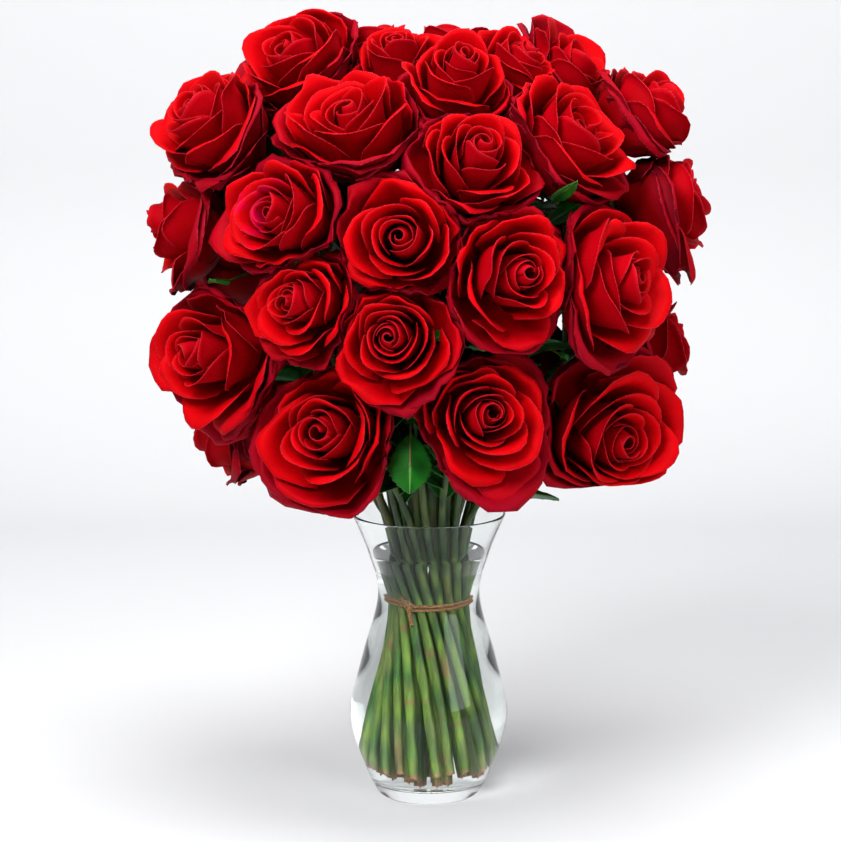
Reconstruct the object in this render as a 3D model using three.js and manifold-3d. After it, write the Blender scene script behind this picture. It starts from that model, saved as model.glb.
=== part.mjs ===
// Three dozen red roses in a clear glass vase filled with water, hand-tied with twine.
// Millimetres, +Z up. The origin is the centre of the vase's flat underside, and -Y is the front.
// Every rose is its own solid. Its stem, with calyx and leaves, is fused to its neighbour's by the tie.
import * as THREE from 'three';
import { mergeVertices } from 'three/addons/utils/BufferGeometryUtils.js';
import Module from 'manifold-3d';

const wasm = await Module();
wasm.setup();

// ---- Driving dimensions -------------------------------------------------------------------
const vase = {
  height: 203, floor: 10, wall: 2.8, water: 174, sides: 24, steps: 7,
  // radius and height of the outer face at foot, belly, shoulder, neck and flared rim
  outline: [[36.5, 1.4], [45, 19], [56, 57], [47.5, 98], [36, 143], [42.5, 174], [54, 202.2]],
};
const stem = { radius: 2.75, sides: 5, rings: [6.2, 12.2, 18.2], perRing: 6, bendSteps: 3 };
const tie = {
  height: 140, exit: 188, spreadDown: 0.0036, twistDown: 0.0122, spreadUp: 0.0085, ringLift: 4.5,
};
const twine = { radius: 1.25, ring: 22.9, around: 16, knot: 3.6, knotAt: 238 };
const dome = { middle: 375, wide: 160, deep: 132, above: 145, below: 190, fan: 375, nod: 25, leafFan: 290 };
const bloom = { sides: 15, depth: 0.62, clear: 0.25, envelope: 1.03, leave: 0.36, arrive: 0.22, sepal: 0.27 };
const gap = 0.4; // clearance between touching solids
// The hollow in the water round the tied bundle: its lowest point, its room and its straight sleeve
const plug = { bottom: 85, margin: 0.8, sleeve: 29.6, sleeveFrom: 120 };
const leafThickness = 0.8;
const leafRoom = 12; // radius of the room that the petals leave for a leaf

// Roses on the dome: degrees around from the front, degrees up, reach (1 = on the dome), radius,
// and, where it isn't straight out of the bunch, the way that the rose faces (around, up).
const roses = [
  [-29, 48, 0.98, 72, [-26, 58]], [18, 66, 1.00, 64, [16, 50]], [13, 34, 1.00, 68],
  [51, 41, 1.00, 68], [-38, 18, 1.02, 64], [-6, 13, 1.00, 66], [20, 4, 1.00, 72], [48, 1, 1.01, 70],
  [-30, -3, 1.01, 58],
  [-8, -9, 1.02, 64], [-65, -15, 1.04, 68, [-42, 6]], [-28, -31, 1.00, 72, [-24, 12]],
  [14, -26, 1.00, 64], [61, -33, 1.08, 74, [34, 2]], [-82, 37, 1.17, 71, [-62, 38]],
  [-84, 11, 1.09, 58], [-93, 60, 1.13, 78, [-52, 46]], [-150, 70, 1.07, 60], [160, 76, 1.05, 60],
  [80, 68, 1.02, 60, [48, 52]], [105, 56, 1.12, 62, [72, 45]], [88, 38, 1.19, 65], [88, 18, 1.10, 68],
  [-100, -35, 1.04, 64], [98, -15, 1.00, 62], [-60, 82, 1.00, 58, [-22, 62]], [180, 43, 1.06, 76],
  [140, 34, 1.06, 76], [-140, 36, 1.06, 76], [126, 5, 1.04, 76], [-124, 6, 1.04, 76],
  [162, -1, 1.04, 74], [-160, 1, 1.04, 74], [140, -33, 1.06, 72], [-142, -33, 1.06, 72],
  [180, -36, 1.04, 70],
];
// Leaves in the hollows between the roses: around, up, reach of the blade's foot, length, width, tilt,
// and, for one that hangs down in the open, its room, how far back it leaves the stem and where it aims
const leaves = [
  [-60, -3, 0.9, 40, 18, 0], [-33, -18, 0.88, 40, 18, 10],
  [-5, -36, 0.88, 48, 32, 0, { room: 28, back: 0.9, aim: [-12, -62] }],
  [12, -14, 0.85, 42, 17, -40], [35, 21, 0.86, 50, 18, -20], [36, -17, 0.86, 48, 18, 60],
  [-112, -14, 0.86, 54, 20, -25], [180, 14, 0.86, 54, 20, 15],
  [-162, -20, 0.86, 50, 20, 30], [-84, -60, 0.74, 56, 24, 50], [100, -60, 0.72, 60, 28, 0],
];

const finish = {
  petal: { color: 0xb40010, roughness: 0.6 },
  stem: { color: 0x3f7a2c, roughness: 0.6 },
  glass: { color: 0xdfeeee, roughness: 0.03, transparent: true, opacity: 0.35 },
  water: { color: 0xe6f3f2, roughness: 0.05, transparent: true, opacity: 0.4 },
  twine: { color: 0x87603a, roughness: 0.9 },
};

// ---- Small helpers --------------------------------------------------------------------------
const rad = THREE.MathUtils.degToRad;

function polar(radius, angle, z = 0) {
  return new THREE.Vector3(radius * Math.cos(angle), radius * Math.sin(angle), z);
}

// A direction by degrees around from the front and degrees up
function heading(around, up) {
  const [a, u] = [rad(around), rad(up)];
  return new THREE.Vector3(Math.cos(u) * Math.sin(a), -Math.cos(u) * Math.cos(a), Math.sin(u));
}

function onDome(around, up, reach) {
  const way = heading(around, up);
  const tall = way.z > 0 ? dome.above : dome.below;
  return way.multiply(new THREE.Vector3(dome.wide, dome.deep, tall)).multiplyScalar(reach)
    .add(new THREE.Vector3(0, 0, dome.middle));
}

// A turned frame whose local Z looks along the given direction
function facing(direction, roll = 0) {
  const side = new THREE.Vector3(0, 0, 1).cross(direction).normalize();
  const upward = direction.clone().cross(side);
  return new THREE.Matrix4().makeBasis(side, upward, direction)
    .multiply(new THREE.Matrix4().makeRotationZ(roll));
}

// A closed geometry with its doubles merged becomes a solid that can be joined and cut
function solid(geometry) {
  const clean = geometry.clone();
  clean.deleteAttribute('normal');
  clean.deleteAttribute('uv');
  const merged = mergeVertices(clean, 1e-3);
  const keep = [];
  const index = merged.index.array;
  for (let i = 0; i < index.length; i += 3) {
    const [a, b, c] = index.slice(i, i + 3);
    if (a !== b && b !== c && c !== a) keep.push(a, b, c);
  }
  const vertProperties = Float32Array.from(merged.attributes.position.array);
  const build = (triVerts) => new wasm.Manifold(new wasm.Mesh({ numProp: 3, vertProperties, triVerts }));
  const body = build(Uint32Array.from(keep));
  return body.volume() > 0 ? body : build(Uint32Array.from(keep).reverse());
}

function geometryOf(body) {
  const mesh = body.getMesh();
  const geometry = new THREE.BufferGeometry();
  geometry.setAttribute('position', new THREE.BufferAttribute(Float32Array.from(mesh.vertProperties), 3));
  geometry.setIndex(new THREE.BufferAttribute(Uint32Array.from(mesh.triVerts), 1));
  return geometry;
}

const join = (bodies) => bodies.reduce((whole, part) => whole.add(part));

// A closed body turned about Z from a profile of [radius, height] points that starts and ends on the axis
function turned(profile, sides) {
  const points = profile.map(([radius, height]) => new THREE.Vector2(radius, height));
  return new THREE.LatheGeometry(points, sides).rotateX(Math.PI / 2);
}

// A path whose points are given, one at each step of the extrusion
class StepPath extends THREE.Curve {
  constructor(points) {
    super();
    this.points = points;
  }

  getPointAt(part) {
    return this.points[Math.round(part * (this.points.length - 1))].clone();
  }

  getTangentAt(part) {
    const i = Math.round(part * (this.points.length - 1));
    const before = this.points[Math.max(i - 1, 0)];
    const after = this.points[Math.min(i + 1, this.points.length - 1)];
    return after.clone().sub(before).normalize();
  }
}

function tube(points, radius, sides) {
  const section = new THREE.Shape(Array.from({ length: sides }, (_, i) => {
    const angle = (i / sides) * 2 * Math.PI;
    return new THREE.Vector2(radius * Math.cos(angle), radius * Math.sin(angle));
  }));
  const extrudePath = new StepPath(points);
  return new THREE.ExtrudeGeometry(section, { steps: points.length - 1, bevelEnabled: false, extrudePath });
}

// ---- Vase and water ---------------------------------------------------------------------------
function vaseOuter() {
  const points = vase.outline.map(([radius, height]) => new THREE.Vector2(radius, height));
  return new THREE.SplineCurve(points).getPoints(vase.steps).map((p) => [p.x, p.y]);
}

function innerRadius(height) {
  const outer = vaseOuter();
  const i = Math.max(1, outer.findIndex(([, z]) => z >= height));
  const [[r0, z0], [r1, z1]] = [outer[i - 1], outer[i]];
  return r0 + ((r1 - r0) * (height - z0)) / (z1 - z0) - vase.wall;
}

function vaseGeometry() {
  const outer = vaseOuter();
  const lip = vase.outline.at(-1)[0] - vase.wall / 2;
  const inner = outer.filter(([, z]) => z > vase.floor + 2).map(([, z]) => [innerRadius(z), z]).reverse();
  const foot = innerRadius(vase.floor + 2);
  return turned([[0, 0], [35, 0], ...outer, [lip, vase.height], ...inner,
    [foot - 0.4, vase.floor + 2], [foot - 3, vase.floor], [0, vase.floor]], vase.sides);
}

// The water fills the vase, less a plain hole for each stem and a plug where the bundle is tied
function waterBody(stemLines) {
  const wall = vaseOuter().filter(([, z]) => z > vase.floor + 2 && z < vase.water)
    .map(([, z]) => [innerRadius(z) - gap, z]);
  const foot = innerRadius(vase.floor + 2) - gap;
  const bundle = (z) => stem.rings[2] * spread(z) + stem.radius + plug.margin;
  const body = solid(turned([[0, vase.floor + gap], [foot - 3.2, vase.floor + gap],
    [foot - 0.4, vase.floor + 2], ...wall, [innerRadius(vase.water) - gap, vase.water],
    [plug.sleeve, vase.water], [plug.sleeve, plug.sleeveFrom],
    [bundle(plug.bottom), plug.bottom], [0, plug.bottom]], vase.sides));
  return stemLines.reduce((rest, line) => {
    const down = line[0].clone().sub(line[1]).normalize();
    const top = line[0].clone().addScaledVector(down, (plug.bottom + 2 - line[0].z) / down.z);
    const hole = tube([line[0].clone().addScaledVector(down, gap), top], stem.radius + gap * 1.2, stem.sides);
    return rest.subtract(solid(hole));
  }, body);
}

// ---- Stems ----------------------------------------------------------------------------------------
// The bundle keeps its pattern and only widens and turns away from the tie, so no two stems cross
function bundleMap(z) {
  const away = Math.abs(z - tie.height);
  const below = z < tie.height;
  const grow = 1 + away * (below ? tie.spreadDown : tie.spreadUp);
  const turn = away * (below ? tie.twistDown : -tie.twistDown);
  return { grow, turn };
}

function spread(z) {
  const { grow, turn } = bundleMap(z);
  return Math.hypot(grow, turn);
}

function throughTie(radius, angle, z) {
  const { grow, turn } = bundleMap(z);
  return polar(radius * Math.hypot(grow, turn), angle + Math.atan2(turn, grow), z);
}

// The highest roses stand on the inner ring of stems, the lowest on the outer one, in order around
function giveSlots(heads) {
  const byHeight = heads.map((head, i) => i).sort((a, b) => heads[b].rise - heads[a].rise);
  let first = 0;
  stem.rings.forEach((radius, ring) => {
    const count = stem.perRing * (ring + 1);
    const members = byHeight.slice(first, first + count)
      .sort((a, b) => heads[a].bearing - heads[b].bearing);
    const lead = meanOffset(members.map((i) => heads[i].bearing), count);
    const { grow, turn } = bundleMap(tie.exit);
    members.forEach((i, place) => {
      const angle = lead + (place / count) * 2 * Math.PI - Math.atan2(turn, grow);
      Object.assign(heads[i], { ring, place, slotRadius: radius, slotAngle: angle });
    });
    first += count;
  });
}

function meanOffset(bearings, count) {
  const total = bearings.reduce((sum, bearing, place) => sum + bearing - (place / count) * 2 * Math.PI, 0);
  return total / count;
}

function stemLine(head, i) {
  const lowest = vase.floor + 1.6 + 1.4 * (i % 3) + tie.ringLift * head.ring;
  const foot = throughTie(head.slotRadius, head.slotAngle, lowest);
  const knot = throughTie(head.slotRadius, head.slotAngle, tie.height);
  const exit = throughTie(head.slotRadius, head.slotAngle, tie.exit);
  const end = head.foot.clone().addScaledVector(head.face, -gap - 1);
  const reach = exit.distanceTo(end);
  const rise = exit.clone().sub(knot).normalize();
  const bend = new THREE.CubicBezierCurve3(exit, exit.clone().addScaledVector(rise, reach * bloom.leave),
    end.clone().addScaledVector(head.face, -reach * bloom.arrive), end);
  return [foot, knot, ...bend.getPoints(stem.bendSteps)];
}

// Hip and five sepals under the rose, as one small turned star
function calyx(head) {
  const profile = [[0, -10], [4.4, -5], [head.size * bloom.sepal, -0.8], [0, 0]];
  const slices = 10;
  const geometry = turned(profile, slices);
  const spot = geometry.attributes.position;
  const between = 0.34;
  for (let i = 0; i < spot.count; i += 1) {
    const slice = Math.floor(i / profile.length) % slices;
    const narrow = i % profile.length === 2 && slice % 2 === 1 ? between : 1;
    spot.setXYZ(i, spot.getX(i) * narrow, spot.getY(i) * narrow, spot.getZ(i));
  }
  const top = head.face.clone().multiplyScalar(-bloom.depth * head.size - gap);
  return crowded(geometry.applyMatrix4(facing(head.face, head.roll)).translate(...top.toArray()), head);
}

// ---- Leaves ----------------------------------------------------------------------------------------
// Along a leaf from the stem: its narrow stalk, then the toothed blade, as [how far along, half width]
function leafRows(stalk, length, width) {
  const teeth = 4;
  const rows = [[0, 1.1], [stalk, 1.1]];
  for (let i = 1; i < teeth * 2; i += 1) {
    const along = i / (teeth * 2);
    const bulge = Math.sin(Math.PI * along ** 0.85) ** 0.8;
    rows.push([stalk + along * length, (width / 2) * bulge * (i % 2 ? 0.84 : 1)]);
  }
  return [...rows, [stalk + length, 0.5]];
}

// A closed blade through rows of four corners. Both faces are split into triangles alike.
function bladeThrough(rows) {
  const index = [];
  for (let at = 0; at + 4 < rows.length * 4; at += 4) {
    const [l, r, rUnder, lUnder] = [at, at + 1, at + 2, at + 3];
    const next = 4;
    index.push(l, r, r + next, l, r + next, l + next);
    index.push(lUnder, rUnder + next, rUnder, lUnder, lUnder + next, rUnder + next);
    index.push(r, rUnder, rUnder + next, r, rUnder + next, r + next);
    index.push(lUnder, l, l + next, lUnder, l + next, lUnder + next);
  }
  const end = rows.length * 4 - 4;
  index.push(0, 2, 1, 0, 3, 2, end, end + 1, end + 2, end, end + 2, end + 3);
  const geometry = new THREE.BufferGeometry().setFromPoints(rows.flat());
  return geometry.setIndex(index);
}

// Where a blade starts, which way it goes, about where its stalk leaves the stem, and the point whose
// nearest stem bears it
function leafAim([around, up, reach, length, , , { back = 0.2, aim } = {}]) {
  const foot = onDome(around, up, reach);
  const way = aim ? heading(...aim) : foot.clone().sub(new THREE.Vector3(0, 0, dome.leafFan)).normalize();
  const root = foot.clone().addScaledVector(way, -length * back);
  return { foot, way, root, bearer: aim ? root : foot };
}

// The blade's foot lies inside the dome, in the room that the petals leave for it. Where that room is
// narrow the blade's rib bends towards its middle, and the blade is narrower across.
function leafOn(leaf, room, line) {
  const [, , , length, width, roll] = leaf;
  const { foot, way, root } = leafAim(leaf);
  const start = nearestOn(line, root);
  const stalk = start.distanceTo(foot);
  const ahead = foot.clone().addScaledVector(way, length / 2).sub(start).normalize();
  const turn = facing(ahead, rad(roll));
  const side = new THREE.Vector3().setFromMatrixColumn(turn, 0);
  const across = new THREE.Vector3().setFromMatrixColumn(turn, 1);
  const crowd = crowdOf(room, heads).map((plane) => ({ way: plane.way, limit: plane.limit - leafThickness }));
  const rows = leafRows(stalk, length, width).map(([along, half]) => {
    const arch = Math.max(0, along - stalk) ** 2 / (length * 3.2);
    const rib = start.clone().addScaledVector(ahead, along).addScaledVector(across, arch).sub(room.centre);
    if (along > stalk + 1) press(rib, crowd, length);
    const free = along > stalk + 1 ? half * roomAcross(rib, side, half, crowd) : half;
    rib.add(room.centre).addScaledVector(across, -free * 0.25);
    return [[-1, 1], [1, 1], [1, -1], [-1, -1]].map(([left, over]) =>
      rib.clone().addScaledVector(side, left * free).addScaledVector(across, over * leafThickness / 2));
  });
  return solid(bladeThrough(rows));
}

// The share of its half width that a blade can keep on either side of its rib
function roomAcross(rib, side, half, crowd) {
  const shares = crowd.map(({ way, limit }) =>
    (limit - rib.dot(way)) / Math.max(half * Math.abs(side.dot(way)), leafThickness / 2));
  return THREE.MathUtils.clamp(Math.min(...shares), 0.2, 1);
}

// The point of a stem, above the vase, that lies nearest
function nearestOn(line, target) {
  let best = null;
  for (let i = 2; i + 1 < line.length; i += 1) {
    const piece = new THREE.Line3(line[i], line[i + 1]);
    const point = piece.closestPointToPoint(target, true, new THREE.Vector3());
    if (!best || point.distanceTo(target) < best.distanceTo(target)) best = point;
  }
  return best;
}

// ---- Roses --------------------------------------------------------------------------------------------
// Rings from the base out to three nested layers of petals: radius and height in shares of the size
const petalRings = [
  [0, -0.62], [0.22, -0.58], [0.68, -0.35], [0.96, 0.06], [0.68, 0], [0.66, 0.32],
  [0.44, 0.16], [0.38, 0.44], [0.2, 0.28], [0, 0.42],
];
// How the three petal layers break the round: share of radius at each of the fifteen slices
const layers = {
  2: { petals: 5, shift: 0, edge: [0.92, 1.06, 1.0], lift: [0.03, -0.04, 0] },
  3: { petals: 5, shift: 0, edge: [0.9, 1.04, 1.0], lift: [0.05, -0.1, -0.03] },
  5: { petals: 5, shift: 2, edge: [0.88, 1.08, 1.0], lift: [0.02, -0.05, 0] },
  7: { petals: 3, shift: 1, edge: [0.82, 0.94, 1.04, 1.1, 1.0], lift: [-0.05, 0, 0.03, 0, -0.03] },
};

function roseGeometry(head) {
  const geometry = turned(petalRings.map(([radius, height]) => [radius * head.size, height * head.size]),
    bloom.sides);
  const spot = geometry.attributes.position;
  for (let i = 0; i < spot.count; i += 1) {
    const ring = i % petalRings.length;
    const slice = Math.floor(i / petalRings.length) % bloom.sides;
    const layer = layers[ring];
    const step = layer ? (slice + layer.shift + head.seed) % layer.edge.length : 0;
    const wide = layer ? layer.edge[step] : 1;
    const wave = ring === 3 ? 0.05 * Math.sin((slice / bloom.sides) * 4 * Math.PI + head.seed) : 0;
    const lift = (layer ? layer.lift[step] : 0) + wave;
    spot.setXYZ(i, spot.getX(i) * wide, spot.getY(i) * wide, spot.getZ(i) + lift * head.size);
  }
  return crowded(geometry.applyMatrix4(facing(head.face, head.roll)), head);
}

// What would reach a neighbour is drawn in towards its own centre, the further out the more, and stops
// short of the plane between the two. Whatever lies behind on the same line stays behind.
function press(point, crowd, reach) {
  let share = 1;
  for (const { way, limit } of crowd) {
    const out = point.dot(way);
    if (out > 0 && limit < reach) {
      const kept = limit * (1 - (1 - Math.min(out / reach, 1)) ** (reach / limit));
      share = Math.min(share, kept / out);
    }
  }
  return point.multiplyScalar(share);
}

// A geometry round a rose's centre, pressed by the neighbours and moved to its place
function crowded(geometry, head) {
  const spot = geometry.attributes.position;
  const point = new THREE.Vector3();
  for (let i = 0; i < spot.count; i += 1) {
    press(point.fromBufferAttribute(spot, i), head.crowd, head.size * bloom.envelope);
    spot.setXYZ(i, ...point.add(head.centre).toArray());
  }
  return geometry;
}

function crowdOf(head, others) {
  const planes = [];
  for (const other of others) {
    const way = other.centre.clone().sub(head.centre);
    const apart = way.length();
    if (other !== head && apart < (head.size + other.size) * 1.15) {
      const share = head.size / (head.size + other.size);
      planes.push({ way: way.normalize(), limit: apart * share - bloom.clear });
    }
  }
  return planes;
}

// ---- Twine -----------------------------------------------------------------------------------------------
function twineBody() {
  const bulge = [[-1, 0], [-0.6, 1], [0, 0.7], [0.6, 1], [1, 0], [0.6, -1], [0, -0.7], [-0.6, -1], [-1, 0]];
  const section = bulge.map(([rise, out]) =>
    [twine.ring + out * twine.radius, tie.height + rise * twine.radius * 2.1]).reverse();
  const turns = solid(turned(section, twine.around));
  const at = rad(twine.knotAt);
  const centre = polar(twine.ring + 1.6, at, tie.height);
  const knot = new THREE.IcosahedronGeometry(twine.knot).translate(...centre.toArray());
  const tail = (sideways, drop, out) => tube([centre,
    polar(twine.ring + 2.2, at + sideways * 0.5, tie.height + drop * 0.5),
    polar(twine.ring + out, at + sideways, tie.height + drop)], twine.radius * 0.8, 4);
  return join([turns, solid(knot), solid(tail(0.1, -14, 2.6)), solid(tail(-0.22, 7, 3))]);
}

// ---- The whole -------------------------------------------------------------------------------------------
// A rose faces out from the dome's fan point, or from just below its own height where that is lower
const heads = roses.map(([around, up, reach, size, face], i) => {
  const centre = onDome(around, up, reach);
  const hub = new THREE.Vector3(0, 0, Math.min(dome.fan, centre.z - dome.nod));
  const outward = centre.clone().sub(hub).normalize();
  const rise = Math.atan2(centre.z - vase.height, Math.hypot(centre.x, centre.y));
  return {
    centre, size, face: face ? heading(...face) : outward, roll: i * 2.4, seed: i, rise,
    bearing: Math.atan2(centre.y, centre.x),
  };
});
const leafSpots = leaves.map(([around, up, , , , , own]) =>
  ({ centre: onDome(around, up, 0.97), size: own?.room ?? leafRoom }));
heads.forEach((head) => {
  head.crowd = crowdOf(head, [...heads, ...leafSpots]);
  const depth = head.face.clone().multiplyScalar(-bloom.depth * head.size);
  head.foot = press(depth, head.crowd, head.size * bloom.envelope).add(head.centre);
});
giveSlots(heads);
const lines = heads.map(stemLine);

const group = new THREE.Group();
group.name = 'roses_in_vase';

function addMesh(name, geometry, look) {
  const mesh = new THREE.Mesh(geometry, new THREE.MeshStandardMaterial({ metalness: 0, ...look }));
  mesh.name = name;
  group.add(mesh);
}

addMesh('vase', vaseGeometry(), finish.glass);
addMesh('water', geometryOf(waterBody(lines)), finish.water);
addMesh('twine_tie', geometryOf(twineBody()), finish.twine);

heads.forEach((head, i) => {
  const name = `rose_${String(i + 1).padStart(2, '0')}`;
  addMesh(name, roseGeometry(head), finish.petal);
});

// Each leaf grows on the stem that passes nearest to its foot or, where it hangs, to its root
const leafHost = leaves.map((leaf) => {
  const { bearer } = leafAim(leaf);
  const apart = lines.map((line) => nearestOn(line, bearer).distanceTo(bearer));
  return apart.indexOf(Math.min(...apart));
});

let pair = 0;
for (let ring = 0; ring < stem.rings.length; ring += 1) {
  for (let place = 0; place < stem.perRing * (ring + 1); place += 2) {
    const members = [place, place + 1]
      .map((spot) => heads.findIndex((head) => head.ring === ring && head.place === spot));
    const bodies = members.flatMap((i) => [
      solid(tube(lines[i], stem.radius, stem.sides)),
      solid(calyx(heads[i])),
      ...leaves.flatMap((leaf, k) => (leafHost[k] === i ? leafOn(leaf, leafSpots[k], lines[i]) : [])),
    ]);
    // The twine presses the two stems together just above the tie
    const pinch = members.map((i) => lines[i][1].clone().lerp(lines[i][2], 0.15));
    bodies.push(solid(tube(pinch, stem.radius * 0.7, 4)));
    pair += 1;
    addMesh(`stems_${String(pair).padStart(2, '0')}`, geometryOf(join(bodies)), finish.stem);
  }
}

export default group;
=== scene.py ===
# Three dozen red roses in a clear glass vase of water, hand-tied with jute twine.
# Metres, +Z up, -Y is the front. The roses stand by the same rule as the solids that they replace.
from math import atan2, cos, hypot, pi, radians, sin

import bmesh
import bpy
import numpy as np
from mathutils import Matrix, Vector


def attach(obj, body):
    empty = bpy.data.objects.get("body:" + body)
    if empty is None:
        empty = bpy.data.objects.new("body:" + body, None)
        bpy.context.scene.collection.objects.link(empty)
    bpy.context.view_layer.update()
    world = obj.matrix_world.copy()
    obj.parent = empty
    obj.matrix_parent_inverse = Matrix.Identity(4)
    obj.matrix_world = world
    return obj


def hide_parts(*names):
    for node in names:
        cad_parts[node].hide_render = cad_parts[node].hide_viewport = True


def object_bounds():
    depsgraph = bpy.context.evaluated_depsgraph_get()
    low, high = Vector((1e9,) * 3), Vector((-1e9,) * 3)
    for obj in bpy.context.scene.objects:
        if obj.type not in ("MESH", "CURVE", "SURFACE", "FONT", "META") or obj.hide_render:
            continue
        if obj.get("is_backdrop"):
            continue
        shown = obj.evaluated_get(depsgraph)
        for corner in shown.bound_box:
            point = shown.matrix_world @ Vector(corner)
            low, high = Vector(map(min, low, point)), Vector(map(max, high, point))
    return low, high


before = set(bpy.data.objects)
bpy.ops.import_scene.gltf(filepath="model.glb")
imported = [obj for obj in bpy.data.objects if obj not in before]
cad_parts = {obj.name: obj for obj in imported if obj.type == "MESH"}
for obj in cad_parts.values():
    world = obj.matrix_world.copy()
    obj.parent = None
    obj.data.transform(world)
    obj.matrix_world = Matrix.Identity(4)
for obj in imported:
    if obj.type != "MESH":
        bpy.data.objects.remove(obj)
lowest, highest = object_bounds()
cadBox = [list(lowest), list(highest)]
scene = bpy.context.scene
mm = 0.001

# the dome that the blooms stand on, where they aim from, a bloom's room among the others and the
# bends of a stem; a share is a share of a bloom's radius or, in a bend, of the stem's free length
bunch = {
    "middle": 375 * mm, "wide": 160 * mm, "deep": 132 * mm, "above": 145 * mm, "below": 190 * mm,
    "fan": 375 * mm, "nod": 25 * mm, "leafFan": 290 * mm, "rim": 203 * mm, "roll": 2.4,
    "clear": 0.25 * mm, "depth": 0.62, "envelope": 1.03, "near": 1.15, "swing": 1.5 * mm,
    "ripples": (190, 170), "leafRoom": 12 * mm, "leafReach": 0.97, "leave": 0.36, "arrive": 0.22,
    "gap": 0.4 * mm,
}
tie = {"height": 140 * mm, "exit": 188 * mm, "spreadDown": 3.6, "spreadUp": 8.5, "twist": 12.2,
       "rings": (6.2 * mm, 12.2 * mm, 18.2 * mm), "perRing": 6}

# around, up, reach, size (mm), the way it faces (None: out of the bunch), openness from 0, tight, to 1
roseList = [
    (-29, 48, 0.98, 72, (-26, 58), 0.95), (18, 66, 1, 64, (16, 50), 0.45), (13, 34, 1, 68, None, 0.5),
    (51, 41, 1, 68, None, 0.75), (-38, 18, 1.02, 64, None, 0.8), (-6, 13, 1, 66, None, 0.45),
    (20, 4, 1, 72, None, 0.4), (48, 1, 1.01, 70, None, 0.6), (-30, -3, 1.01, 58, None, 0.45),
    (-8, -9, 1.02, 64, None, 0.4), (-65, -15, 1.04, 68, (-42, 6), 0.45),
    (-28, -31, 1, 72, (-24, 12), 0.5), (14, -26, 1, 64, None, 0.4), (61, -33, 1.08, 74, (34, 2), 0.9),
    (-82, 37, 1.17, 71, (-62, 38), 0.7), (-84, 11, 1.09, 58, None, 0.3), (-93, 60, 1.13, 78, (-52, 46), 0.9),
    (-150, 70, 1.07, 60, None, 0.6), (160, 76, 1.05, 60, None, 0.6), (80, 68, 1.02, 60, (48, 52), 0.7),
    (105, 56, 1.12, 62, (72, 45), 0.9), (88, 38, 1.19, 65, None, 0.7), (88, 18, 1.1, 68, None, 0.8),
    (-100, -35, 1.04, 64, None, 0.5), (98, -15, 1, 62, None, 0.6), (-60, 82, 1, 58, (-22, 62), 0.5),
    (180, 43, 1.06, 76, None, 0.6), (140, 34, 1.06, 76, None, 0.5), (-140, 36, 1.06, 76, None, 0.8),
    (126, 5, 1.04, 76, None, 0.4), (-124, 6, 1.04, 76, None, 0.6), (162, -1, 1.04, 74, None, 0.7),
    (-160, 1, 1.04, 74, None, 0.45), (140, -33, 1.06, 72, None, 0.5), (-142, -33, 1.06, 72, None, 0.6),
    (180, -36, 1.04, 70, None, 0.4),
]
# around, up, reach of the blade's foot, length, width (mm), tilt and, for the one that hangs down in the
# open, its room, how far back it leaves the stem and where it aims
leafList = [
    (-60, -3, 0.9, 40, 18, 0, {}), (-33, -18, 0.88, 40, 18, 10, {}),
    (-5, -36, 0.88, 48, 32, 0, {"room": 28 * mm, "back": 0.9, "aim": (-12, -62)}),
    (12, -14, 0.85, 42, 17, -40, {}), (35, 21, 0.86, 50, 18, -20, {}), (36, -17, 0.86, 48, 18, 60, {}),
    (-112, -14, 0.86, 54, 20, -25, {}), (180, 14, 0.86, 54, 20, 15, {}), (-162, -20, 0.86, 50, 20, 30, {}),
    (-84, -60, 0.74, 56, 24, 50, {}), (100, -60, 0.72, 60, 28, 0, {}),
]


def heading(around, up):
    a, u = radians(around), radians(up)
    return Vector((cos(u) * sin(a), -cos(u) * cos(a), sin(u)))


def onDome(around, up, reach):
    way = heading(around, up)
    tall = bunch["above"] if way.z > 0 else bunch["below"]
    high = way.z * tall + bunch["middle"] / reach
    return Vector((way.x * bunch["wide"], way.y * bunch["deep"], high)) * reach


def facing(direction, roll=0.0):
    side = Vector((0, 0, 1)).cross(direction).normalized()
    upward = direction.cross(side)
    return Matrix((side, upward, direction)).transposed() @ Matrix.Rotation(roll, 3, "Z")


# how far the bundle has spread and turned at a height, away from the tie
def bundleMap(z):
    away = abs(z - tie["height"])
    below = z < tie["height"]
    spread = 1 + away * (tie["spreadDown"] if below else tie["spreadUp"])
    return spread, away * (tie["twist"] if below else -tie["twist"])


def throughTie(radius, angle, z):
    spread, turn = bundleMap(z)
    out = radius * hypot(spread, turn)
    around = angle + atan2(turn, spread)
    return Vector((out * cos(around), out * sin(around), z))


# the planes, as a way, how far off and which side swings out, that part a bloom from its neighbours
def crowdOf(head, others):
    planes = []
    for other in others:
        way = other["centre"] - head["centre"]
        apart = way.length
        if other is not head and apart < (head["size"] + other["size"]) * bunch["near"]:
            share = head["size"] / (head["size"] + other["size"])
            side = 1 if head.get("number", -1) > other.get("number", -1) else -1
            planes.append((way.normalized(), apart * share - bunch["clear"], side))
    return planes


# points (n, 3) round the centre, drawn in so that none passes a neighbour's plane; with a centre
# given, the two blooms share a wavy border in place of the plane
def press(points, planes, reach, centre=None):
    share = np.ones(len(points))
    swing = np.zeros(len(points))
    if centre is not None:
        x, y, z = (points + np.array(centre)).T
        first, second = bunch["ripples"]
        swing = np.sin(first * (x + 0.6 * z)) + np.sin(second * (z - 0.5 * x + 0.7 * y))
        swing = swing * bunch["swing"]
    for way, limit, side in planes:
        out = points @ np.array(way)
        if limit < reach:
            limit = limit + side * swing
            kept = limit * (1 - (1 - np.clip(out / reach, 0, 1)) ** (reach / limit))
            share = np.minimum(share, np.where(out > 1e-6, kept / np.maximum(out, 1e-6), 1))
    return points * share[:, None]


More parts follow.
